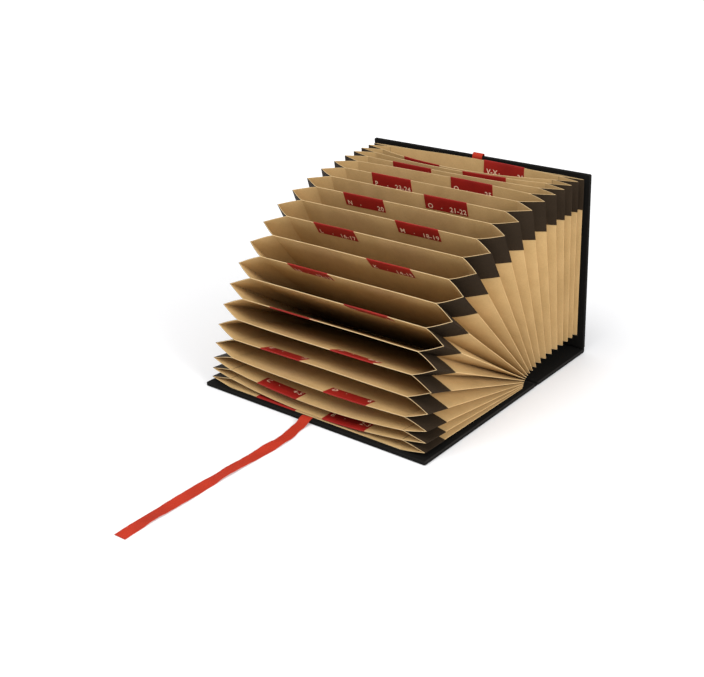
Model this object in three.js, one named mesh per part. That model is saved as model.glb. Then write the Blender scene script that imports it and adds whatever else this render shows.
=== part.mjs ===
import * as THREE from 'three';

// Expanding file, lying open on its front cover. Millimetres, +Z up.
// +X runs along the hinges, +Y from the fore-edge of the front cover towards the back cover.
// While the file is drawn, the front hinge line is y = 0 and z = 0; the origin is set at the end.
// Side view angles are 0 flat on the front cover and 90 upright.

const leafWidth = 155;
const leafHeight = 130.4;
const leafThickness = 0.4;
const bellowsStart = 18;
const coverOverhang = 3.6;
const coverWidth = 200;
const coverDepth = bellowsStart + leafHeight + coverOverhang;
const coverThickness = 3;
const spineDepth = 79.6;
const backCoverAngle = 83.9;
const boardInset = 4;
const spineInset = 1.5;
const clothThickness = 0.7;
const pocketCount = 20;
const gussetDepth = 18.7;
const gussetThickness = 0.3;
const tapeHeight = 24;
const tapeThickness = 0.25;
const foldDrop = 3;
const foldThickness = 0.25;
const labelWidth = 37;
const labelHeight = 11;
const labelThickness = 0.25;
const labelColumn = 30.5;
const labelShift = -2.5;
const ribbonWidth = 8.2;
const ribbonThickness = 0.4;
const clearance = 0.3;

// Angle of each free leaf, from the one next to the back cover to the one next to the front cover.
const leafAngles = [
  84.9, 83.9, 82.9, 81.5, 79.6, 76.4, 72.3, 67.5, 61.8, 55.3,
  48.1, 40.7, 33.6, 27.0, 20.6, 14.5, 8.9, 5.1, 2.5,
];

// Where the lower edge of each free leaf sits: its share of the way from the foot of the front wall
// to the back hinge, and its height above the inner face of the spine.
const leafFeet = [
  [0.85041, 15.3], [0.77049, 15.0], [0.69057, 14.6], [0.60451, 14.1], [0.50973, 13.6],
  [0.41496, 13.0], [0.32531, 12.4], [0.24334, 11.6], [0.17674, 10.8], [0.12807, 10.0],
  [0.09221, 9.25], [0.06609, 8.5], [0.04816, 7.65], [0.03586, 6.7], [0.02664, 5.7],
  [0.01998, 4.7], [0.01588, 3.68], [0.01332, 2.62], [0.01127, 1.57],
];

const clothBlack = new THREE.MeshStandardMaterial({ color: 0x141412, roughness: 0.85, metalness: 0 });
const kraft = new THREE.MeshStandardMaterial({ color: 0xc8a070, roughness: 0.9, metalness: 0 });
const tapeBrown = new THREE.MeshStandardMaterial({ color: 0x3c3028, roughness: 0.8, metalness: 0 });
const labelRed = new THREE.MeshStandardMaterial({ color: 0x961e19, roughness: 0.6, metalness: 0 });
const ribbonRed = new THREE.MeshStandardMaterial({ color: 0xc83223, roughness: 0.5, metalness: 0 });

const group = new THREE.Group();
group.name = 'expanding_file';

function addMesh(name, geometry, material) {
  const mesh = new THREE.Mesh(geometry, material);
  mesh.name = name;
  group.add(mesh);
}

function direction(degrees) {
  const a = THREE.MathUtils.degToRad(degrees);
  return new THREE.Vector2(-Math.cos(a), Math.sin(a));
}

function upperNormal(degrees) {
  const a = THREE.MathUtils.degToRad(degrees);
  return new THREE.Vector2(Math.sin(a), Math.cos(a));
}

function along(origin, u, s, n, t) {
  return new THREE.Vector2(origin.x + u.x * s + n.x * t, origin.y + u.y * s + n.y * t);
}

// A solid from a side view outline in y and z, carried from x0 to x1.
function prism(outline, x0, x1) {
  const shape = new THREE.Shape(outline);
  const geometry = new THREE.ExtrudeGeometry(shape, { depth: x1 - x0, bevelEnabled: false });
  const position = geometry.attributes.position;
  for (let i = 0; i < position.count; i += 1) {
    const y = position.getX(i);
    const z = position.getY(i);
    const x = position.getZ(i) + x0;
    position.setXYZ(i, x, y, z);
  }
  geometry.computeVertexNormals();
  return geometry;
}

function centred(outline, width, centre) {
  return prism(outline, centre - width / 2, centre + width / 2);
}

// A sheet seen from its edge: a path given half a thickness to each side.
function sheetOutline(path, thickness) {
  const half = thickness / 2;
  const left = [];
  const right = [];
  path.forEach((p, i) => {
    const before = i > 0 ? p.clone().sub(path[i - 1]).normalize() : null;
    const after = i < path.length - 1 ? path[i + 1].clone().sub(p).normalize() : null;
    const a = before || after;
    const b = after || before;
    const na = new THREE.Vector2(-a.y, a.x);
    const nb = new THREE.Vector2(-b.y, b.x);
    const m = na.clone().add(nb).multiplyScalar(half / (1 + na.dot(nb)));
    const turn = a.x * b.y - a.y * b.x;
    const short = m.clone().clampLength(0, half * 1.5);
    left.push(p.clone().add(turn > 0 ? m : short));
    right.push(p.clone().sub(turn > 0 ? short : m));
  });
  return left.concat(right.reverse());
}

// A board with its long edges broken slightly.
function boardOutline(origin, u, n, from, to, thickness) {
  const c = thickness * 0.15;
  return [
    along(origin, u, from, n, c), along(origin, u, from + c, n, 0),
    along(origin, u, to - c, n, 0), along(origin, u, to, n, c),
    along(origin, u, to, n, thickness - c), along(origin, u, to - c, n, thickness),
    along(origin, u, from + c, n, thickness), along(origin, u, from, n, thickness - c),
  ];
}

// Case: two boards and a spine board in book cloth, joined by cloth in the grooves.
const frontHinge = new THREE.Vector2(0, 0);
const backHinge = new THREE.Vector2(spineDepth, 0);
const flat = direction(0);
const flatUp = upperNormal(0);
const backU = direction(backCoverAngle);
const backInward = upperNormal(backCoverAngle).multiplyScalar(-1);

const frontOutline = boardOutline(frontHinge, flat, flatUp, boardInset, coverDepth, coverThickness);
addMesh('front_board', centred(frontOutline, coverWidth, 0), clothBlack);
const spineOutline = boardOutline(
  backHinge, flat, flatUp, spineInset, spineDepth - spineInset, coverThickness,
);
addMesh('spine_board', centred(spineOutline, coverWidth, 0), clothBlack);
const backOutline = boardOutline(backHinge, backU, backInward, boardInset, coverDepth, coverThickness);
addMesh('back_board', centred(backOutline, coverWidth, 0), clothBlack);

const clothRise = clearance + clothThickness / 2;
const frontClothPath = [
  new THREE.Vector2(-boardInset + clearance, clothRise),
  new THREE.Vector2(spineInset - clearance, clothRise),
];
addMesh('front_joint_cloth', centred(sheetOutline(frontClothPath, clothThickness), coverWidth, 0), clothBlack);
const cornerReach = clothRise * 1.25;
const backClothPath = [
  new THREE.Vector2(spineDepth - spineInset + clearance, clothRise),
  new THREE.Vector2(spineDepth - cornerReach, clothRise),
  along(backHinge, backU, cornerReach, backInward, clothRise),
  along(backHinge, backU, boardInset - clearance, backInward, clothRise),
];
addMesh('back_joint_cloth', centred(sheetOutline(backClothPath, clothThickness), coverWidth, 0), clothBlack);

// Walls of the bellows, from the back cover to the front cover. Each runs from its foot along its angle.
const wallOffset = coverThickness + clearance + leafThickness / 2;
const walls = [{ foot: along(backHinge, backU, bellowsStart, backInward, wallOffset), angle: backCoverAngle }];
leafAngles.forEach((angle, i) => {
  const run = leafFeet[i][0] * (spineDepth + bellowsStart) - bellowsStart;
  const foot = new THREE.Vector2(run, coverThickness + leafFeet[i][1]);
  walls.push({ foot, angle });
});
walls.push({ foot: new THREE.Vector2(-bellowsStart, wallOffset), angle: 0 });

function sheetAt(wall) {
  const u = direction(wall.angle);
  const n = upperNormal(wall.angle);
  return [
    along(wall.foot, u, 0, n, -leafThickness / 2), along(wall.foot, u, leafHeight, n, -leafThickness / 2),
    along(wall.foot, u, leafHeight, n, leafThickness / 2), along(wall.foot, u, 0, n, leafThickness / 2),
  ].reverse();
}

function twoDigits(k) {
  return String(k).padStart(2, '0');
}

walls.forEach((wall, k) => {
  let name = `leaf_${twoDigits(k)}`;
  if (k === 0) name = 'back_wall';
  if (k === pocketCount) name = 'front_wall';
  addMesh(name, centred(sheetAt(wall), leafWidth, 0), kraft);
});

// Index labels, folded over the upper edge of their wall, in a right and a left column.
const labelGap = leafThickness / 2 + clearance;
walls.forEach((wall, k) => {
  if (k === 0) return;
  const u = direction(wall.angle);
  const n = upperNormal(wall.angle);
  const mid = labelGap + labelThickness / 2;
  const foot = leafHeight - labelHeight;
  const crest = leafHeight + mid;
  const path = [along(wall.foot, u, foot, n, mid), along(wall.foot, u, crest, n, mid)];
  if (k === pocketCount) {
    path.push(along(wall.foot, u, crest, n, -leafThickness / 2));
  } else {
    path.push(along(wall.foot, u, crest, n, -mid), along(wall.foot, u, foot, n, -mid));
  }
  const centre = labelShift + (k % 2 === 1 ? labelColumn : -labelColumn);
  addMesh(`index_label_${twoDigits(k)}`, centred(sheetOutline(path, labelThickness), labelWidth, centre), labelRed);
});

// Gussets. Valleys stand at the side edges of the walls, mountains point outwards between them.
const valleyX = leafWidth / 2 + clearance + gussetThickness * 0.75;

function wallPoint(wall, s) {
  return along(wall.foot, direction(wall.angle), s, upperNormal(wall.angle), 0);
}

function foldPoints(heights) {
  const columns = [];
  walls.forEach((wall, k) => {
    if (k > 0) {
      columns.push(heights.map((s) => {
        const a = wallPoint(walls[k - 1], s);
        const b = wallPoint(wall, s);
        const half = a.distanceTo(b) / 2;
        const depth = Math.sqrt(Math.max(gussetDepth * gussetDepth - half * half, 1));
        return new THREE.Vector3(valleyX + depth, (a.x + b.x) / 2, (a.y + b.y) / 2);
      }));
    }
    columns.push(heights.map((s) => {
      const p = wallPoint(wall, s);
      return new THREE.Vector3(valleyX, p.x, p.y);
    }));
  });
  return columns;
}

function panelNormal(columns, j, r) {
  const rows = columns[j].length;
  const low = Math.max(r - 1, 0);
  const high = Math.min(r + 1, rows - 1);
  const across = columns[j + 1][r].clone().sub(columns[j][r]);
  const rise = columns[j][high].clone().sub(columns[j][low]);
  rise.add(columns[j + 1][high]).sub(columns[j + 1][low]);
  return rise.cross(across).normalize();
}

function offsetPoint(columns, j, r, distance) {
  const last = columns.length - 1;
  const first = panelNormal(columns, Math.max(j - 1, 0), r);
  const second = panelNormal(columns, Math.min(j, last - 1), r);
  const shift = first.clone().add(second).multiplyScalar(distance / (1 + first.dot(second)));
  const mountain = j % 2 === 1;
  const limit = mountain === distance > 0 ? Math.abs(distance) * 1.5 : gussetDepth * 0.6;
  return columns[j][r].clone().add(shift.clampLength(0, limit));
}

// A folded strip between two distances from the fold surface, closed along its four edges.
// The trim leaves out that many folds at each end.
function foldedStrip(columns, inner, outer, side, trim) {
  const n = columns.length - trim * 2;
  const rows = columns[0].length;
  const vertices = [];
  [inner, outer].forEach((distance) => {
    for (let j = trim; j < n + trim; j += 1) {
      for (let r = 0; r < rows; r += 1) {
        const p = offsetPoint(columns, j, r, distance);
        vertices.push(p.x * side, p.y, p.z);
      }
    }
  });
  const at = (layer, j, r) => layer * n * rows + j * rows + r;
  const index = [];
  const quad = (a, b, c, d) => {
    if (side > 0) index.push(a, b, c, a, c, d);
    else index.push(a, c, b, a, d, c);
  };
  for (let j = 0; j < n - 1; j += 1) {
    for (let r = 0; r < rows - 1; r += 1) {
      quad(at(0, j, r), at(0, j + 1, r), at(0, j + 1, r + 1), at(0, j, r + 1));
      quad(at(1, j, r), at(1, j, r + 1), at(1, j + 1, r + 1), at(1, j + 1, r));
    }
    quad(at(0, j, 0), at(1, j, 0), at(1, j + 1, 0), at(0, j + 1, 0));
    quad(at(0, j, rows - 1), at(0, j + 1, rows - 1), at(1, j + 1, rows - 1), at(1, j, rows - 1));
  }
  for (let r = 0; r < rows - 1; r += 1) {
    quad(at(0, 0, r), at(0, 0, r + 1), at(1, 0, r + 1), at(1, 0, r));
    quad(at(0, n - 1, r), at(1, n - 1, r), at(1, n - 1, r + 1), at(0, n - 1, r + 1));
  }
  const geometry = new THREE.BufferGeometry();
  geometry.setAttribute('position', new THREE.Float32BufferAttribute(vertices, 3));
  geometry.setIndex(index);
  geometry.computeVertexNormals();
  return geometry;
}

const tapeStart = leafHeight - tapeHeight;
const tapeRows = [tapeStart, tapeStart + tapeHeight / 2, leafHeight];
const gussetRows = [0, 0.13, 0.32, 0.6].map((share) => share * tapeStart).concat(tapeRows);
const gussetColumns = foldPoints(gussetRows);
const tapeColumns = foldPoints(tapeRows);
const half = gussetThickness / 2;
const tapeInner = half + clearance;
const tapeOuter = tapeInner + tapeThickness;
addMesh('right_gusset', foldedStrip(gussetColumns, -half, half, 1, 0), kraft);
addMesh('left_gusset', foldedStrip(gussetColumns, -half, half, -1, 0), kraft);
addMesh('right_gusset_tape', foldedStrip(tapeColumns, tapeInner, tapeOuter, 1, 1), tapeBrown);
addMesh('left_gusset_tape', foldedStrip(tapeColumns, tapeInner, tapeOuter, -1, 1), tapeBrown);

// Bottom folds of the pockets, one folded strip under the feet of the walls.
const footGap = clearance + foldThickness;
const foldPath = [];
walls.forEach((wall, k) => {
  if (k > 0) {
    const before = walls[k - 1];
    const middle = wallPoint(before, -footGap).add(wallPoint(wall, -footGap)).multiplyScalar(0.5);
    const down = direction((before.angle + wall.angle) / 2);
    foldPath.push(middle.addScaledVector(down, -foldDrop));
  }
  foldPath.push(wallPoint(wall, -footGap));
});
addMesh('bottom_folds', centred(sheetOutline(foldPath, foldThickness), leafWidth, 0), kraft);

// Tie ribbons. Each comes out between its board and the bellows at the middle of the fore-edge.
// A route point is its place across the cover, how far it lies past the fore-edge, and its height
// above the table or its depth in from the outer face of the back cover.
const underWall = -(coverOverhang - clearance * 3 - labelThickness);
const boardTop = coverThickness + clearance + ribbonThickness / 2;
const frontRoute = [
  [-1.9, underWall, boardTop], [-1.8, -0.8, boardTop], [-1.75, 0.9, 3.05], [-1.6, 2.6, 2.2],
  [-1.4, 4.8, 1.3], [-1.2, 7.5, 0.62], [-0.9, 11, 0.3], [0.2, 17, 0.24], [1.9, 24, 0.25],
  [2.6, 32, 0.55], [2.9, 41, 0.75], [2.9, 50, 0.4], [2.6, 60, 0.25], [2.35, 70, 0.45],
  [2.25, 81, 0.8], [2.3, 93, 0.5], [2.5, 104, 0.25], [3, 116, 0.5], [3.4, 129, 0.9],
  [3.3, 141, 0.6], [3.05, 153, 0.25], [3.5, 165, 0.24], [4.3, 178, 0.24],
];
const rearRoute = [
  [2, underWall, boardTop], [2, -0.8, boardTop], [2, 0.6, 2.9], [2, 1.5, 1.8], [2, 1.6, 0.7],
  [2, 0.8, -0.2], [1.9, -1, -0.62], [1.8, -4, -0.7], [1.5, -10, -0.6], [1.1, -20, -0.9],
  [0.9, -32, -1.2], [1.2, -45, -0.7], [1.8, -59, -0.6], [2.3, -73, -1.1], [2.2, -88, -1.3],
  [1.6, -103, -0.7], [1, -118, -0.6], [0.8, -132, -0.9], [1.2, -146, -0.6],
];

// A flat band along a smooth curve through its route, lying across the cover's width.
function band(points) {
  const centres = new THREE.CatmullRomCurve3(points, false, 'catmullrom', 0.5).getPoints((points.length - 1) * 3);
  const vertices = [];
  centres.forEach((p, i) => {
    const ahead = centres[Math.min(i + 1, centres.length - 1)].clone();
    const run = ahead.sub(centres[Math.max(i - 1, 0)]).normalize();
    const wide = new THREE.Vector3(1, 0, 0);
    wide.addScaledVector(run, -wide.dot(run)).normalize().multiplyScalar(ribbonWidth / 2);
    const thick = wide.clone().cross(run).normalize().multiplyScalar(ribbonThickness / 2);
    [[-1, -1], [1, -1], [1, 1], [-1, 1]].forEach(([w, t]) => {
      const q = p.clone().addScaledVector(wide, w).addScaledVector(thick, t);
      vertices.push(q.x, q.y, q.z);
    });
  });
  const index = [0, 1, 2, 0, 2, 3];
  for (let i = 0; i < centres.length - 1; i += 1) {
    for (let e = 0; e < 4; e += 1) {
      const a = i * 4 + e;
      const b = i * 4 + ((e + 1) % 4);
      index.push(a, a + 4, b + 4, a, b + 4, b);
    }
  }
  const last = (centres.length - 1) * 4;
  index.push(last, last + 2, last + 1, last, last + 3, last + 2);
  const geometry = new THREE.BufferGeometry();
  geometry.setAttribute('position', new THREE.Float32BufferAttribute(vertices, 3));
  geometry.setIndex(index);
  geometry.computeVertexNormals();
  return geometry;
}

const frontPoints = frontRoute.map(([x, past, height]) => new THREE.Vector3(x, -(coverDepth + past), height));
const rearPoints = rearRoute.map(([x, past, depth]) => {
  const p = along(backHinge, backU, coverDepth + past, backInward, depth);
  return new THREE.Vector3(x, p.x, p.y);
});
addMesh('front_ribbon', band(frontPoints), ribbonRed);
addMesh('rear_ribbon', band(rearPoints), ribbonRed);

// The origin is the middle of the file's footprint, ribbons left out, on the resting plane.
const footprint = new THREE.Box3();
group.children.forEach((mesh) => {
  if (!mesh.name.endsWith('ribbon')) footprint.expandByObject(mesh);
});
const middleY = (footprint.min.y + footprint.max.y) / 2;
group.children.forEach((mesh) => mesh.geometry.translate(0, -middleY, 0));

export default group;
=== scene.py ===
import bpy
import math
from mathutils import Matrix, Vector
from mathutils.noise import noise


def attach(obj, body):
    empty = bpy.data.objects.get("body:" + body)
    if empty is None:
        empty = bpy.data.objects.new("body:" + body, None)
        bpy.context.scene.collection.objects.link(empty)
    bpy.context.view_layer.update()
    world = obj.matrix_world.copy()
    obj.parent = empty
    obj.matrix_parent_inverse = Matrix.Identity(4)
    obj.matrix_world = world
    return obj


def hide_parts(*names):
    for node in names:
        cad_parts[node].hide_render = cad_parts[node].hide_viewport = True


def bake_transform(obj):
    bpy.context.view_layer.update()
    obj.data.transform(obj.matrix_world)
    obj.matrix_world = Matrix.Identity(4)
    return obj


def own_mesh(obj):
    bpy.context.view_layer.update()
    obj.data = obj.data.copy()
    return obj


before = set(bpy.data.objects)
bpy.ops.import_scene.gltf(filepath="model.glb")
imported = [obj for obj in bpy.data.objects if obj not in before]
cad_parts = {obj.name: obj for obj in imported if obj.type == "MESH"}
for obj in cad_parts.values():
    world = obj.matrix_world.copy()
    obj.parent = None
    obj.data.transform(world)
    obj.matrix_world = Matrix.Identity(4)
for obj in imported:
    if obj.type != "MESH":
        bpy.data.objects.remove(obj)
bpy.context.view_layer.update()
scene = bpy.context.scene

# Lengths are in millimetres, as in the source, unless a line says metres. Points are measured from
# the front hinge, and mm() turns them into metres in the part's frame.
HINGE_Y = 36.384
WALL_WIDTH = 155.0
WALL_HEIGHT = 130.4
WALL_THICK = 0.4
GUSSET_DEPTH = 18.7
GUSSET_THICK = 0.3
VALLEY_X = 77.45
PEAK_OUT = 0.575
TAPE_FROM = 106.4
TAPE_THICK = 0.2
TAPE_SHIFT = 0.27
BOTTOM_THICK = 0.25
BOARD_THICK = 3.0
BOARD_CORNER = 1.2
BOARD_ROUND = 0.8
BOARD_GROOVE = 4.0
COVER_WIDTH = 200.0
COVER_DEPTH = 152.0
SPINE_DEPTH = 79.6
SPINE_INSET = 1.5
GLUED_FROM = 18.0
GLUED_LIFT = 3.5
BACK_ANGLE = 83.9
POCKETS = 20


def mm(x, y, z):
    return Vector((x, y + HINGE_Y, z)) / 1000.0


# Camera at the photograph's angle, solved by least squares. Its place is in metres.
AZIMUTH, ELEVATION = math.radians(37.515), math.radians(23.385)
CAMERA_SPOT = (0.4416, -0.6393, 0.3610)
LENS = 55.69
cam_back = Vector(
    (
        math.sin(AZIMUTH) * math.cos(ELEVATION),
        -math.cos(AZIMUTH) * math.cos(ELEVATION),
        math.sin(ELEVATION),
    )
)
cam_right = Vector((math.cos(AZIMUTH), math.sin(AZIMUTH), 0.0))
cam_up = cam_back.cross(cam_right)
cam_data = bpy.data.cameras.new("camera")
cam_data.sensor_fit = "HORIZONTAL"
cam_data.sensor_width = 36.0
cam_data.lens = LENS
cam_data.clip_start = 0.01
cam_data.clip_end = 60.0
camera = bpy.data.objects.new("camera", cam_data)
cam_turn = Matrix((cam_right, cam_up, cam_back)).transposed().to_4x4()
camera.matrix_world = Matrix.Translation(CAMERA_SPOT) @ cam_turn
scene.collection.objects.link(camera)
scene.camera = camera

# Side view of the walls: wall 0 lies on the back board, 20 on the front board, and 1 to 19 are the
# dividers. Each divider has the y and z of its foot and its angle over the table.
FEET = [
    (65.0, 18.3), (57.2, 18.0), (49.4, 17.6), (41.0, 17.1), (31.75, 16.6), (22.5, 16.0),
    (13.75, 15.4), (5.75, 14.6), (-0.75, 13.8), (-5.5, 13.0), (-9.0, 12.25), (-11.55, 11.5),
    (-13.3, 10.65), (-14.5, 9.7), (-15.4, 8.7), (-16.05, 7.7), (-16.45, 6.68), (-16.7, 5.62),
    (-16.9, 4.57),
]
ANGLES = [
    84.9, 83.9, 82.9, 81.5, 79.6, 76.4, 72.3, 67.5, 61.8, 55.3,
    48.1, 40.7, 33.6, 27.0, 20.6, 14.5, 8.9, 5.1, 2.5,
]


def along(angle):
    """Direction in y and z from a wall's foot to its mouth."""
    a = math.radians(angle)
    return Vector((-math.cos(a), math.sin(a)))


def across(angle):
    """Direction in y and z off a wall, towards the back cover."""
    a = math.radians(angle)
    return Vector((math.sin(a), math.cos(a)))


BACK_FOOT = Vector((SPINE_DEPTH, 0.0))
walls = [
    (BACK_FOOT + along(BACK_ANGLE) * GLUED_FROM - across(BACK_ANGLE) * GLUED_LIFT, BACK_ANGLE)
]
walls += [(Vector(foot), angle) for foot, angle in zip(FEET, ANGLES)]
walls.append((Vector((-GLUED_FROM, GLUED_LIFT)), 0.0))


def wall_body(k):
    if k == 0:
        return "back_cover"
    return "front_cover" if k == POCKETS else "divider_%02d" % k


# How far a loose wall bows at the middle of its mouth, towards the back cover where above 0.
MOUTH_BOW = {1: 5.2, 2: -13.0, 3: -6.5, 4: -2.5, 5: 2.0, 15: -0.9, 17: -2.2, 18: -5.2, 19: -6.1}


def bow(k, x, s):
    """How far a paper wall stands off its flat plane."""
    if k in (0, POCKETS):
        return 0.0
    up = s / WALL_HEIGHT
    side = 1 - (x / (WALL_WIDTH / 2)) ** 2
    lift = (0.30 + 0.14 * math.sin(k * 1.7)) * math.sin(math.pi * min(1.0, up * 0.8))
    wave = 0.10 * math.sin(x / 19.0 + k * 0.9) * up**2
    mouth = MOUTH_BOW.get(k, 0.0) * up**2
    return side * (lift + wave + mouth)


def on_wall(k, x, s, t=0.0):
    """Point of wall k at x, s up from its foot and t off its middle towards the back cover."""
    foot, angle = walls[k]
    p = foot + along(angle) * s + across(angle) * (t + bow(k, x, s))
    return mm(x, p.x, p.y)


# Mesh makers.
def make_mesh(name, verts, faces, mats, uvs=None, picks=None, smooth=True):
    mesh = bpy.data.meshes.new(name)
    mesh.from_pydata([tuple(v) for v in verts], [], faces)
    for m in mats:
        mesh.materials.append(m)
    if uvs is not None:
        layer = mesh.uv_layers.new(name="UVMap")
        for loop in mesh.loops:
            layer.data[loop.index].uv = uvs[loop.vertex_index]
    for i, poly in enumerate(mesh.polygons):
        poly.use_smooth = smooth
        if picks is not None:
            poly.material_index = picks[i]
    mesh.update()
    obj = bpy.data.objects.new(name, mesh)
    scene.collection.objects.link(obj)
    return obj


def shell(name, grid, thick, mats, rim=(1, 1, 1, 1), shift=0.0, origin=(0.0, 0.0), turn=False):
    """A sheet of paper or cloth of that thickness about a grid of points, with its cut edges.

    rim picks the material of each of its four edges, shift moves it off the grid, origin is the
    start of its UVs in metres, and turn swaps its faces.
    """
    nu, nv = len(grid), len(grid[0])
    half, off = thick / 2000.0, shift / 1000.0
    top, bottom, uv = [], [], []
    ulen = [[0.0] * nv for _ in range(nu)]
    vlen = [[0.0] * nv for _ in range(nu)]
    mu, mv = nu // 2, nv // 2
    for i in range(nu):
        for j in range(nv):
            if i:
                ulen[i][j] = ulen[i - 1][j] + (grid[i][mv] - grid[i - 1][mv]).length
            if j:
                vlen[i][j] = vlen[i][j - 1] + (grid[mu][j] - grid[mu][j - 1]).length
    for i in range(nu):
        for j in range(nv):
            du = grid[min(i + 1, nu - 1)][j] - grid[max(i - 1, 0)][j]
            dv = grid[i][min(j + 1, nv - 1)] - grid[i][max(j - 1, 0)]
            n = du.cross(dv)
            n = n.normalized() if n.length > 1e-12 else Vector((0, 0, 1))
            if turn:
                n = -n
            top.append(grid[i][j] + n * (off + half))
            bottom.append(grid[i][j] + n * (off - half))
            uv.append((ulen[i][j] + origin[0], vlen[i][j] + origin[1]))
    count = nu * nv
    verts = top + bottom
    uvs = uv + uv
    faces, picks = [], []

    def at(i, j):
        return i * nv + j

    def add(face, pick):
        faces.append(tuple(reversed(face)) if turn else tuple(face))
        picks.append(pick)

    for i in range(nu - 1):
        for j in range(nv - 1):
            a, b, c, d = at(i, j), at(i + 1, j), at(i + 1, j + 1), at(i, j + 1)
            add((a, b, c, d), 0)
            add((d + count, c + count, b + count, a + count), 0)

    def edge(a, b, pick):
        first = len(verts)
        for q in (a, b, b + count, a + count):
            verts.append(verts[q].copy())
            uvs.append(uvs[q])
        add((first, first + 3, first + 2, first + 1), pick)

    for j in range(nv - 1):
        edge(at(0, j + 1), at(0, j), rim[0])
        edge(at(nu - 1, j), at(nu - 1, j + 1), rim[1])
    for i in range(nu - 1):
        edge(at(i, 0), at(i + 1, 0), rim[2])
        edge(at(i + 1, nv - 1), at(i, nv - 1), rim[3])
    return make_mesh(name, verts, faces, mats, uvs, picks)


CORNER_PARTS, SIDE_PARTS, ROUND_PARTS = 6, 12, 5


def slab(name, a0, a1, place, mat):
    """A cloth-wrapped board from a0 to a1 along its depth, with soft edges and corners."""
    ca, ha, hx = (a0 + a1) / 2, abs(a1 - a0) / 2, COVER_WIDTH / 2
    outline = []
    for sx, sa, start in ((1, 1, 0), (-1, 1, 90), (-1, -1, 180), (1, -1, 270)):
        x, a = sx * (hx - BOARD_CORNER), sa * (ha - BOARD_CORNER)
        for i in range(CORNER_PARTS + 1):
            w = math.radians(start + 90 * i / CORNER_PARTS)
            outline.append((x, a, math.cos(w), math.sin(w)))
    dense = []
    for i, (x, a, nx, na) in enumerate(outline):
        dense.append((x, a, nx, na))
        x2, a2 = outline[(i + 1) % len(outline)][:2]
        if (i + 1) % (CORNER_PARTS + 1) == 0:
            for q in range(1, SIDE_PARTS):
                f = q / SIDE_PARTS
                dense.append((x + (x2 - x) * f, a + (a2 - a) * f, nx, na))
    ring_n = len(dense)
    inner = BOARD_CORNER - BOARD_ROUND
    rings = []
    for i in range(ROUND_PARTS + 1):
        w = math.radians(90 * i / ROUND_PARTS)
        rise = BOARD_ROUND * (1 - math.cos(w))
        rings.append((inner + BOARD_ROUND * math.sin(w), rise, w * BOARD_ROUND))
    girth = BOARD_THICK - 2 * BOARD_ROUND + math.pi * BOARD_ROUND
    rings += [(r, BOARD_THICK - t, girth - d) for r, t, d in reversed(rings)]
    verts, uvs, faces = [], [], []
    for r, t, d in rings:
        for x, a, nx, na in dense:
            px, pa = x + nx * r, ca + a + na * r
            verts.append(place(px, pa, t))
            reach = inner + d
            uvs.append(((x + nx * reach) / 1000, (ca + a + na * reach) / 1000))
    for i in range(len(rings) - 1):
        for j in range(ring_n):
            j2 = (j + 1) % ring_n
            low, high = i * ring_n, (i + 1) * ring_n
            faces.append((low + j, low + j2, high + j2, high + j))
    faces.append(tuple(reversed(range(ring_n))))
    last = (len(rings) - 1) * ring_n
    faces.append(tuple(last + j for j in range(ring_n)))
    obj = make_mesh(name, verts, faces, [mat], uvs)
    for poly in obj.data.polygons[-2:]:
        poly.use_smooth = False
    return obj


# Materials.
def new_material(name, rough, shine=0.22):
    """A new material with its node tree and its shader node."""
    material = bpy.data.materials.new(name)
    material.use_nodes = True
    tree = material.node_tree
    shader = tree.nodes["Principled BSDF"]
    shader.inputs["Roughness"].default_value = rough
    shader.inputs["Specular IOR Level"].default_value = shine
    return material, tree, shader


def put(tree, kind, **values):
    n = tree.nodes.new(kind)
    for key, value in values.items():
        setattr(n, key, value)
    return n


def feed(tree, value, socket):
    """Links a socket's output, or sets a plain value."""
    if isinstance(value, bpy.types.NodeSocket):
        tree.links.new(value, socket)
    else:
        socket.default_value = value


def uv_scaled(tree, sx, sy):
    uv_map = put(tree, "ShaderNodeUVMap", uv_map="UVMap")
    mapping = put(tree, "ShaderNodeMapping")
    mapping.inputs["Scale"].default_value = (sx, sy, 1.0)
    tree.links.new(uv_map.outputs["UV"], mapping.inputs["Vector"])
    return mapping.outputs["Vector"]


def noise_on(tree, sx, sy, detail=3.0, rough=0.55):
    n = put(tree, "ShaderNodeTexNoise")
    n.inputs["Scale"].default_value = 1.0
    n.inputs["Detail"].default_value = detail
    n.inputs["Roughness"].default_value = rough
    tree.links.new(uv_scaled(tree, sx, sy), n.inputs["Vector"])
    return n.outputs["Fac"]


def ramp(tree, source, stops):
    r = put(tree, "ShaderNodeValToRGB")
    while len(r.color_ramp.elements) < len(stops):
        r.color_ramp.elements.new(0.5)
    for e, (pos, colour) in zip(r.color_ramp.elements, stops):
        e.position = pos
        e.color = (*colour, 1.0)
    tree.links.new(source, r.inputs["Fac"])
    return r.outputs["Color"]


def mixed(tree, fac, a, b, blend="MIX"):
    n = put(tree, "ShaderNodeMix", data_type="RGBA", blend_type=blend)
    ins = [i for i in n.inputs if i.type == "RGBA"]
    for socket, value in ((n.inputs[0], fac), (ins[0], a), (ins[1], b)):
        feed(tree, value, socket)
    return [o for o in n.outputs if o.type == "RGBA"][0]


def maths(tree, op, *values):
    n = put(tree, "ShaderNodeMath", operation=op)
    for socket, value in zip(n.inputs, values):
        feed(tree, value, socket)
    return n.outputs["Value"]


def bump(tree, shader, height, strength, depth_mm):
    b = put(tree, "ShaderNodeBump")
    b.inputs["Strength"].default_value = strength
    b.inputs["Distance"].default_value = depth_mm / 1000
    tree.links.new(height, b.inputs["Height"])
    tree.links.new(b.outputs["Normal"], shader.inputs["Normal"])


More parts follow.
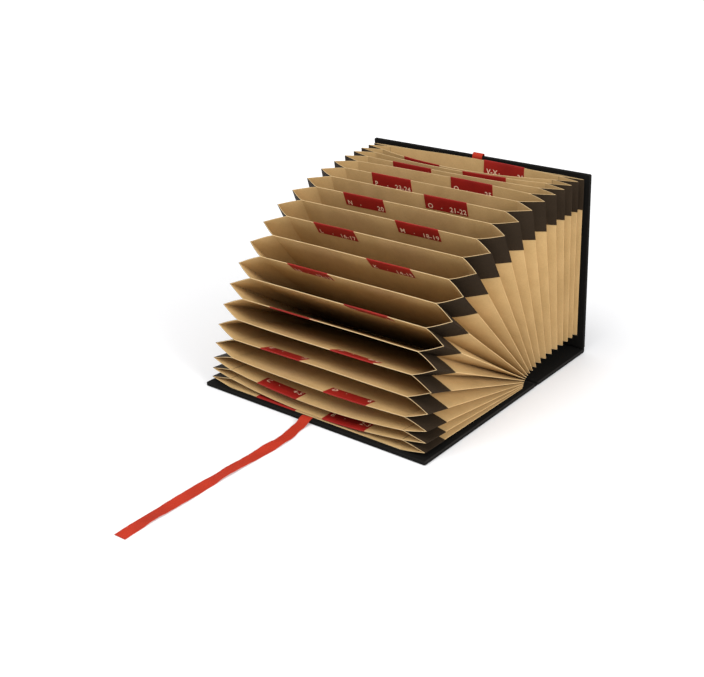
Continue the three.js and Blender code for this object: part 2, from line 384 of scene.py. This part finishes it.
def woven(tree, pitch_u, pitch_v):
    """Height of a plain weave with that thread pitch in mm."""
    uv = uv_scaled(tree, math.pi * 1000 / pitch_u, math.pi * 1000 / pitch_v)
    sep = put(tree, "ShaderNodeSeparateXYZ")
    tree.links.new(uv, sep.inputs[0])
    su = maths(tree, "SINE", sep.outputs[0])
    sv = maths(tree, "SINE", sep.outputs[1])
    over = maths(tree, "MULTIPLY", su, sv)
    ridge = maths(tree, "MULTIPLY", maths(tree, "ABSOLUTE", su), maths(tree, "ABSOLUTE", sv))
    return maths(tree, "ADD", maths(tree, "MULTIPLY", over, 0.35), ridge)


def paper_material(name, light, dark, grain=0.75, glow=0.10, rough=0.82):
    """Fibrous paper. grain is the strength of its strands, glow the share of light let through."""
    material, tree, shader = new_material(name, rough)
    broad = noise_on(tree, 55, 40, 4.0)
    fibre = noise_on(tree, 420, 3600, 3.0, 0.6)
    cross = noise_on(tree, 3000, 500, 2.0, 0.6)
    base = ramp(tree, broad, [(0.30, dark), (0.70, light)])
    long_strands = maths(tree, "MULTIPLY", fibre, 0.6)
    strands = maths(tree, "ADD", long_strands, maths(tree, "MULTIPLY", cross, 0.4))
    shade = ramp(tree, strands, [(0.30, (0.82, 0.80, 0.77)), (0.62, (1.05, 1.05, 1.05))])
    toned = mixed(tree, grain, base, shade, "MULTIPLY")
    fleck_noise = noise_on(tree, 900, 1700, 1.0)
    fleck = ramp(tree, fleck_noise, [(0.70, (1, 1, 1)), (0.76, (0.72, 0.62, 0.5))])
    toned = mixed(tree, 0.35, toned, fleck, "MULTIPLY")
    tree.links.new(toned, shader.inputs["Base Color"])
    bump(tree, shader, strands, 0.35, 0.05)
    thin = put(tree, "ShaderNodeBsdfTranslucent")
    tree.links.new(toned, thin.inputs["Color"])
    both = put(tree, "ShaderNodeMixShader")
    both.inputs[0].default_value = glow
    out = tree.nodes["Material Output"]
    tree.links.new(shader.outputs[0], both.inputs[1])
    tree.links.new(thin.outputs[0], both.inputs[2])
    tree.links.new(both.outputs[0], out.inputs["Surface"])
    return material


def cloth_material(name, thread, gap, pitch, rough, shine, depth, wear=None):
    """Plain weave in the colours of its threads and gaps. wear is the colour of rubbed edges."""
    material, tree, shader = new_material(name, rough, shine)
    weave = woven(tree, *pitch)
    fuzz = noise_on(tree, 700, 900, 3.0)
    height = maths(tree, "ADD", weave, maths(tree, "MULTIPLY", fuzz, 0.5))
    tone = ramp(tree, height, [(0.15, gap), (0.95, thread)])
    patches = noise_on(tree, 30, 36, 3.0)
    broad = ramp(tree, patches, [(0.3, (0.8, 0.8, 0.8)), (0.7, (1.15, 1.15, 1.15))])
    toned = mixed(tree, 0.8, tone, broad, "MULTIPLY")
    if wear is not None:
        geo = put(tree, "ShaderNodeNewGeometry")
        edge = ramp(tree, geo.outputs["Pointiness"], [(0.505, (0, 0, 0)), (0.56, (1, 1, 1))])
        rubbed = maths(tree, "MULTIPLY", edge, noise_on(tree, 500, 500, 2.0))
        toned = mixed(tree, rubbed, toned, (*wear, 1.0))
    tree.links.new(toned, shader.inputs["Base Color"])
    bump(tree, shader, height, 0.6, depth)
    return material


kraft = paper_material("kraft_paper", (0.60, 0.405, 0.185), (0.515, 0.342, 0.147))
kraft_cut = paper_material(
    "kraft_cut_edge", (0.64, 0.47, 0.26), (0.55, 0.39, 0.20), grain=0.3, glow=0.0
)
kraft_fold = paper_material(
    "kraft_fold", (0.66, 0.45, 0.22), (0.56, 0.36, 0.16), grain=0.4, glow=0.0
)
label_paper = paper_material(
    "index_label", (0.29, 0.012, 0.008), (0.22, 0.008, 0.006), grain=0.4, glow=0.0, rough=0.5
)
label_cut = paper_material(
    "index_label_cut_edge", (0.50, 0.10, 0.07), (0.38, 0.05, 0.04), grain=0.3, glow=0.0
)
print_ink = paper_material(
    "index_print", (0.80, 0.58, 0.42), (0.70, 0.46, 0.33), grain=0.2, glow=0.0
)
book_cloth = cloth_material(
    "book_cloth", (0.009, 0.0086, 0.008), (0.0035, 0.0035, 0.0032),
    pitch=(0.55, 0.5), rough=0.65, shine=0.02, depth=0.05, wear=(0.026, 0.024, 0.022),
)
tape_cloth = cloth_material(
    "gusset_tape", (0.040, 0.027, 0.017), (0.015, 0.010, 0.006),
    pitch=(0.36, 0.4), rough=0.55, shine=0.03, depth=0.03,
)
ribbon_cloth = cloth_material(
    "tie_ribbon", (0.47, 0.040, 0.018), (0.30, 0.020, 0.010),
    pitch=(0.28, 0.42), rough=0.6, shine=0.06, depth=0.04,
)
ribbon_edge = cloth_material(
    "tie_ribbon_edge", (0.50, 0.05, 0.024), (0.36, 0.026, 0.013),
    pitch=(0.3, 0.3), rough=0.6, shine=0.06, depth=0.04,
)


def flatten(obj, k):
    """A wall that bows at its mouth, and what is on it, get a mesh of their own."""
    if k in MOUTH_BOW:
        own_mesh(obj)


# Walls of the bellows.
def steps(a, b, n):
    """n equal steps from a to b, with both ends."""
    return [a + (b - a) * i / n for i in range(n + 1)]


for k in range(POCKETS + 1):
    heights = steps(0, WALL_HEIGHT, 16)
    grid = [[on_wall(k, x, s) for s in heights] for x in steps(-WALL_WIDTH / 2, WALL_WIDTH / 2, 20)]
    cad = {0: "back_wall", POCKETS: "front_wall"}.get(k, "leaf_%02d" % k)
    origin = (0.31 * k, 0.17 * k)
    obj = shell(cad + "_paper", grid, WALL_THICK, [kraft, kraft_cut], origin=origin)
    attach(obj, wall_body(k))
    flatten(obj, k)
    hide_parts(cad)


# Gussets: two panels a side for each pocket, which meet at the mountain fold.
def mountain(k, s):
    """How far out the mountain fold of pocket k stands at height s, and its place in y and z."""
    a = walls[k][0] + along(walls[k][1]) * s
    b = walls[k - 1][0] + along(walls[k - 1][1]) * s
    half = (a - b).length / 2
    return VALLEY_X + PEAK_OUT + math.sqrt(GUSSET_DEPTH**2 - half**2), (a + b) / 2


def panel_point(side, k, wall, f, s):
    """Point on the panel from that wall of pocket k, where f is 0, to its mountain fold at 1.

    The panel bends a little on its way, and waves softly towards its mouth.
    """
    xm, mid = mountain(k, s)
    foot, angle = walls[wall]
    e = foot + along(angle) * s
    rise = 1 - 0.7 * f - 0.15 * f * f * (3 - f)
    wave = 0.16 * math.sin(s / 17.0 + k * 2.1 + side) * math.sin(math.pi * f) * (s / WALL_HEIGHT)
    sign = 1 if wall == k else -1
    p = mid + (e - mid) * rise - across(angle) * wave * sign
    return mm(side * (VALLEY_X + (xm - VALLEY_X) * f), p.x, p.y)


def bend(obj, k):
    """Pocket 1's pieces go on the back cover with a mesh of their own; the others get their place
    baked into their mesh.
    """
    if k == 1:
        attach(obj, wall_body(0))
        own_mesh(obj)
        return
    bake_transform(obj)


# The last step goes just past the mountain fold, so that the two panels meet there without a gap.
PANEL_ROWS = steps(0, TAPE_FROM, 9) + steps(TAPE_FROM, WALL_HEIGHT, 5)[1:]
PANEL_ACROSS = steps(0, 1, 7)[:-1] + [1.006]
TAPE_ROWS = steps(TAPE_FROM, WALL_HEIGHT - 0.15, 6)
TAPE_ACROSS = steps(0.02, 1.0, 7)[:-1] + [1.03]
for side, label in ((1, "right"), (-1, "left")):
    for k in range(1, POCKETS + 1):
        origin = (0.2 * k + 0.05, 0.13 * k)
        for wall, tag in ((k, "a"), (k - 1, "b")):
            grid = [[panel_point(side, k, wall, f, s) for s in PANEL_ROWS] for f in PANEL_ACROSS]
            outward = (wall == k) != (side == 1)
            name = "%s_gusset_%02d%s" % (label, k, tag)
            obj = shell(
                name, grid, GUSSET_THICK, [kraft, kraft_cut, kraft_fold], rim=(0, 2, 1, 1),
                origin=origin, turn=outward,
            )
            bend(obj, k)
            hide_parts(label + "_gusset")
            grid = [[panel_point(side, k, wall, f, s) for s in TAPE_ROWS] for f in TAPE_ACROSS]
            obj = shell(
                name + "_tape", grid, TAPE_THICK, [tape_cloth, tape_cloth], shift=TAPE_SHIFT,
                origin=origin, turn=outward,
            )
            bend(obj, k)
            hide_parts(label + "_gusset_tape")

# Bottom fold of each pocket. It dips between the walls and ends in a point at each mountain fold.
BOTTOM_DIP = 3.0
BOTTOM_DROP = 0.35
POINT_SHARE = 0.04
for k in range(1, POCKETS + 1):
    xm, mid = mountain(k, 0.0)
    between = xm * 0.6 + VALLEY_X * 0.4
    xs = [-xm, -between] + steps(-VALLEY_X, VALLEY_X, 10) + [between, xm]
    a, b = walls[k][0], walls[k - 1][0]
    up = (along(walls[k][1]) + along(walls[k - 1][1])).normalized()
    centre = mid - up * 0.3
    grid = []
    for x in xs:
        past = max(0.0, abs(x) - VALLEY_X) / (xm - VALLEY_X)
        spread = max(POINT_SHARE, 1 - past)
        row = []
        for q in steps(0, 1, 6):
            dip = BOTTOM_DIP * (1 - abs(2 * q - 1)) ** 0.85
            p = a + (b - a) * q - up * (BOTTOM_DROP + dip)
            p = centre + (p - centre) * spread
            row.append(mm(x, p.x, p.y))
        grid.append(row)
    origin = (0.27 * k, 0.09 * k)
    obj = shell("bottom_fold_%02d" % k, grid, BOTTOM_THICK, [kraft, kraft_cut], origin=origin)
    if k == 1:
        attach(obj, wall_body(0))
        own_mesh(obj)
    else:
        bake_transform(obj)
    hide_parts("bottom_folds")


# Case: boards wrapped in cloth and the cloth in the two grooves.
def back_place(x, s, t):
    """Point on the back board at x, s up from the back hinge and t through its thickness."""
    p = BACK_FOOT + along(BACK_ANGLE) * s - across(BACK_ANGLE) * t
    return mm(x, p.x, p.y)


def flat_place(x, a, t):
    """Point on a board that lies on the table."""
    return mm(x, a, t)


for cad, a0, a1, place, body in (
    ("front_board", -COVER_DEPTH, -BOARD_GROOVE, flat_place, "front_cover"),
    ("spine_board", SPINE_INSET, SPINE_DEPTH - SPINE_INSET, flat_place, "spine"),
    ("back_board", BOARD_GROOVE, COVER_DEPTH, back_place, "back_cover"),
):
    obj = slab(cad + "_cloth", a0, a1, place, book_cloth)
    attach(obj, body)
    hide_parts(cad)

JOINT_CLOTH = 0.6
JOINT_HALF = COVER_WIDTH / 2 - 0.4
front_path = [(-3.9, 0.66), (-2.6, 0.56), (-1.2, 0.5), (0.2, 0.55), (1.4, 0.66)]
grid = [[mm(x, y, z) for y, z in front_path] for x in steps(-JOINT_HALF, JOINT_HALF, 12)]
obj = shell("front_joint_cloth_strip", grid, JOINT_CLOTH, [book_cloth, book_cloth])
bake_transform(obj)
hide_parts("front_joint_cloth")

back_path = [mm(0, 78.2, 0.66), mm(0, 78.55, 0.66)]
back_path += [back_place(0, s, t) for s, t in ((1.1, 0.9), (1.6, 0.70), (2.6, 0.66), (3.9, 0.66))]
xs = steps(-JOINT_HALF, JOINT_HALF, 12)
grid = [[Vector((x / 1000, p.y, p.z)) for p in back_path] for x in xs]
obj = shell("back_joint_cloth_strip", grid, JOINT_CLOTH, [book_cloth, book_cloth])
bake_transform(obj)
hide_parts("back_joint_cloth")

# Index labels, each folded over the mouth edge of its wall, and their lettering.
LABEL_WIDTH, LABEL_DROP, LABEL_COLUMN, LABEL_SHIFT = 37.0, 11.0, 30.5, -2.5
LABEL_THICK = 0.2
LABEL_OFF = 0.36
LABEL_CREST = WALL_HEIGHT + 0.08
LABEL_LIMIT = 130.9
PRINT_OFF = LABEL_OFF + 0.22
PRINT_SIZE, PRINT_BOLD, PRINT_SPACE = 5.7, 0.09, 1.1
PRINT_BASE, PRINT_CAP = 1.0, 4.0
DOT_LIFT = 1.3
LETTERS = "A,B,C,D,E,F,G,H,I-J,K,L,M,N,O,P,Q,R,S,T-U,V-X".split(",")
NUMBERS = (
    "1,2-3,4-5,6,7,8-9,10,11,12-13,14-15,16-17,18-19,20,21-22,23-24,25,26-27,28-29,30,31".split(",")
)
text_cache = {}


def text_mesh(body):
    """Flat outline of a short text in mm, with its left edge and baseline at 0."""
    if body not in text_cache:
        curve = bpy.data.curves.new("letters", "FONT")
        curve.body = body
        curve.size = PRINT_SIZE
        curve.resolution_u = 3
        curve.space_character = PRINT_SPACE
        curve.offset = PRINT_BOLD
        holder = bpy.data.objects.new("letters", curve)
        scene.collection.objects.link(holder)
        bpy.context.view_layer.update()
        graph = bpy.context.evaluated_depsgraph_get()
        mesh = bpy.data.meshes.new_from_object(holder.evaluated_get(graph))
        verts = [(v.co.x, v.co.y) for v in mesh.vertices]
        faces = [tuple(p.vertices) for p in mesh.polygons]
        bpy.data.objects.remove(holder)
        bpy.data.meshes.remove(mesh)
        left = min(v[0] for v in verts)
        text_cache[body] = ([(x - left, y) for x, y in verts], faces)
    return text_cache[body]


def label_profile(k, foot):
    """Height and distance off wall k along a label, from its back over the mouth to its front."""
    turn = steps(0.4, math.pi - 0.4, 5)
    if k < POCKETS:
        profile = [(s, -LABEL_OFF) for s in steps(foot, LABEL_CREST, 6)]
        profile += [
            (LABEL_CREST + LABEL_OFF * math.sin(w), -LABEL_OFF * math.cos(w)) for w in turn
        ]
    else:
        profile = [(LABEL_CREST + 0.32, -0.1), (LABEL_CREST + 0.36, 0.12)]
    return profile + [(s, LABEL_OFF) for s in steps(LABEL_CREST, foot, 6)]


def label_point(k, x, s, t):
    """Point of a label, which isn't quite flat."""
    unevenness = 0.06 * noise(Vector((x / 9, s / 9, k)))
    return on_wall(k, x, min(s, LABEL_LIMIT), t + unevenness)


for k in range(1, POCKETS + 1):
    column = LABEL_SHIFT + (LABEL_COLUMN if k % 2 else -LABEL_COLUMN)
    s0 = WALL_HEIGHT - LABEL_DROP
    profile = label_profile(k, s0)
    xs = steps(column - LABEL_WIDTH / 2, column + LABEL_WIDTH / 2, 8)
    grid = [[label_point(k, x, s, t) for s, t in profile] for x in xs]
    name = "index_label_%02d" % k
    origin = (0.15 * k, 0.07 * k)
    obj = shell(name + "_paper", grid, LABEL_THICK, [label_paper, label_cut], origin=origin)
    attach(obj, wall_body(k))
    flatten(obj, k)
    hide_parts(name)

    verts, faces = [], []
    rank = POCKETS - k
    for face in (-1, 1) if k < POCKETS else (1,):
        for body, where in ((LETTERS[rank], "left"), (NUMBERS[rank], "right"), (".", "dot")):
            pts, polys = text_mesh(body)
            width = max(p[0] for p in pts)
            shift = {"left": -15.9, "right": 17.4 - width, "dot": -4.0 - width / 2}[where]
            lift = DOT_LIFT if where == "dot" else 0.0
            first = len(verts)
            for x, y in pts:
                rise = y + lift if face == -1 else PRINT_CAP - y - lift
                s = s0 + PRINT_BASE + rise
                verts.append(on_wall(k, column + shift + x, s, face * PRINT_OFF))
            faces += [tuple(first + i for i in poly) for poly in polys]
    uvs = [((v.x + 0.3 * k), (v.y + v.z)) for v in verts]
    obj = make_mesh("index_print_%02d" % k, verts, faces, [print_ink], uvs, smooth=False)
    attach(obj, wall_body(k))
    flatten(obj, k)

# Tie ribbons. The routes are the same points as in the source.
FRONT_ROUTE = [
    (-1.9, -149.55, 3.5), (-1.8, -151.2, 3.5), (-1.75, -152.9, 3.05), (-1.6, -154.6, 2.2),
    (-1.4, -156.8, 1.3), (-1.2, -159.5, 0.62), (-0.9, -163.0, 0.3), (0.2, -169.0, 0.24),
    (1.9, -176.0, 0.25), (2.6, -184.0, 0.55), (2.9, -193.0, 0.75), (2.9, -202.0, 0.4),
    (2.6, -212.0, 0.25), (2.35, -222.0, 0.45), (2.25, -233.0, 0.8), (2.3, -245.0, 0.5),
    (2.5, -256.0, 0.25), (3.0, -268.0, 0.5), (3.4, -281.0, 0.9), (3.3, -293.0, 0.6),
    (3.05, -305.0, 0.25), (3.5, -317.0, 0.24), (4.3, -330.0, 0.24),
]
REAR_ROUTE = [
    (2.0, 149.55, 3.5), (2.0, 151.2, 3.5), (2.0, 152.6, 2.9), (2.0, 153.5, 1.8),
    (2.0, 153.6, 0.7), (2.0, 152.8, -0.2), (1.9, 151.0, -0.62), (1.8, 148.0, -0.7),
    (1.5, 142.0, -0.6), (1.1, 132.0, -0.9), (0.9, 120.0, -1.2), (1.2, 107.0, -0.7),
    (1.8, 93.0, -0.6), (2.3, 79.0, -1.1), (2.2, 64.0, -1.3), (1.6, 49.0, -0.7),
    (1.0, 34.0, -0.6), (0.8, 20.0, -0.9), (1.2, 6.0, -0.6),
]
RIBBON_HALF = 4.4
RIBBON_THICK = 0.34
RIBBON_COLUMNS = 3
TABLE_GAP = 0.22


def smooth_route(points, parts):
    """Catmull-Rom points through the route."""
    pts = [points[0] * 2 - points[1]] + list(points) + [points[-1] * 2 - points[-2]]
    out = []
    for i in range(1, len(pts) - 2):
        p0, p1, p2, p3 = pts[i - 1 : i + 3]
        slope, curve, twist = p2 - p0, 2 * p0 - 5 * p1 + 4 * p2 - p3, 3 * p1 - p0 - 3 * p2 + p3
        for q in range(parts):
            t = q / parts
            out.append(0.5 * (2 * p1 + slope * t + curve * t * t + twist * t**3))
    out.append(points[-1].copy())
    return out


def ribbon(name, points, body, cad, tilt):
    """A flat ribbon along its route. tilt gives its roll in radians at a length in mm."""
    centres = smooth_route(points, 4)
    grid = [[] for _ in range(2 * RIBBON_COLUMNS + 1)]
    run = 0.0
    for i, c in enumerate(centres):
        d = (centres[min(i + 1, len(centres) - 1)] - centres[max(i - 1, 0)]).normalized()
        if i:
            run += (c - centres[i - 1]).length
        wide = Vector((1, 0, 0))
        wide = (wide - d * wide.dot(d)).normalized()
        lift = d.cross(wide)
        if lift.z < 0:
            lift = -lift
        roll = tilt(run * 1000)
        wide = wide * math.cos(roll) + lift * math.sin(roll)
        wander = 0.02 * math.sin(run * 310) + 0.04 * noise(Vector((run * 150, 2.0, 0.5)))
        half = RIBBON_HALF / 1000 * (1 + wander)
        for j, row in enumerate(grid):
            f = (j - RIBBON_COLUMNS) / RIBBON_COLUMNS
            ripple = 0.0001 * math.sin(run * 700 + f * 2.0) * abs(f) + 0.00006
            p = c + wide * half * f + lift * ripple
            p.z = max(p.z, TABLE_GAP / 1000)
            row.append(p)
    obj = shell(name, grid, RIBBON_THICK, [ribbon_cloth, ribbon_edge])
    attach(obj, body)
    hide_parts(cad)


def front_tilt(r):
    """The front ribbon lies level at first, then rolls a little to each side."""
    share = min(1.0, max(0.0, (r - 14) / 25))
    return share * (0.11 * math.sin(r / 11.0) + 0.05 * math.sin(r / 4.7))


def rear_tilt(_):
    """The rear ribbon lies level all the way."""
    return 0.0


front_points = [mm(*p) for p in FRONT_ROUTE]
rear_points = [back_place(*p) for p in REAR_ROUTE]
ribbon("front_ribbon_band", front_points, "front_cover", "front_ribbon", front_tilt)
ribbon("rear_ribbon_band", rear_points, "back_cover", "rear_ribbon", rear_tilt)

# White table and soft studio light. Lengths here are in metres. The table glows more the further
# it is from the file, so that it ends in the white of the background.
TABLE_HALF = 15
TABLE_Z = -0.0002
GLOW_RANGE = {"From Min": 0.12, "From Max": 0.9, "To Min": 0.10, "To Max": 0.5}
corners = [(x * TABLE_HALF, y * TABLE_HALF, 0) for x, y in ((-1, -1), (1, -1), (1, 1), (-1, 1))]
floor_mesh = bpy.data.meshes.new("table")
floor_mesh.from_pydata(corners, [], [(0, 1, 2, 3)])
floor = bpy.data.objects.new("table", floor_mesh)
floor.location = (0, 0, TABLE_Z)
scene.collection.objects.link(floor)
table_material, tree, shader = new_material("table", 0.6)
shader.inputs["Emission Color"].default_value = (1.0, 1.0, 1.0, 1.0)
glow = put(tree, "ShaderNodeMapRange")
for socket, value in GLOW_RANGE.items():
    glow.inputs[socket].default_value = value
spot = put(tree, "ShaderNodeTexCoord")
distance = put(tree, "ShaderNodeVectorMath", operation="LENGTH")
tree.links.new(spot.outputs["Object"], distance.inputs[0])
tree.links.new(distance.outputs["Value"], glow.inputs["Value"])
tree.links.new(glow.outputs["Result"], shader.inputs["Emission Strength"])
clouds = put(tree, "ShaderNodeTexNoise")
clouds.inputs["Scale"].default_value = 4.0
tree.links.new(spot.outputs["Object"], clouds.inputs["Vector"])
white = ramp(tree, clouds.outputs["Fac"], [(0.3, (0.74, 0.74, 0.75)), (0.7, (0.77, 0.77, 0.775))])
tree.links.new(white, shader.inputs["Base Color"])
floor_mesh.materials.append(table_material)

world = bpy.data.worlds.new("studio")
scene.world = world
world.use_nodes = True
background = world.node_tree.nodes["Background"]
background.inputs["Color"].default_value = (1.0, 1.0, 1.0, 1.0)
background.inputs["Strength"].default_value = 0.76


def area_light(name, location, target, size, power):
    data = bpy.data.lights.new(name, "AREA")
    data.shape = "SQUARE"
    data.size = size
    data.energy = power
    obj = bpy.data.objects.new(name, data)
    obj.location = location
    aim = Vector(target) - Vector(location)
    obj.rotation_euler = aim.to_track_quat("-Z", "Y").to_euler()
    scene.collection.objects.link(obj)


area_light("key", (1.35, -0.30, 0.62), (0.0, 0.0, 0.05), size=0.6, power=15.0)
area_light("top", (-0.10, -0.75, 1.25), (0.0, 0.0, 0.06), size=0.9, power=11.0)
scene.view_settings.view_transform = "Standard"
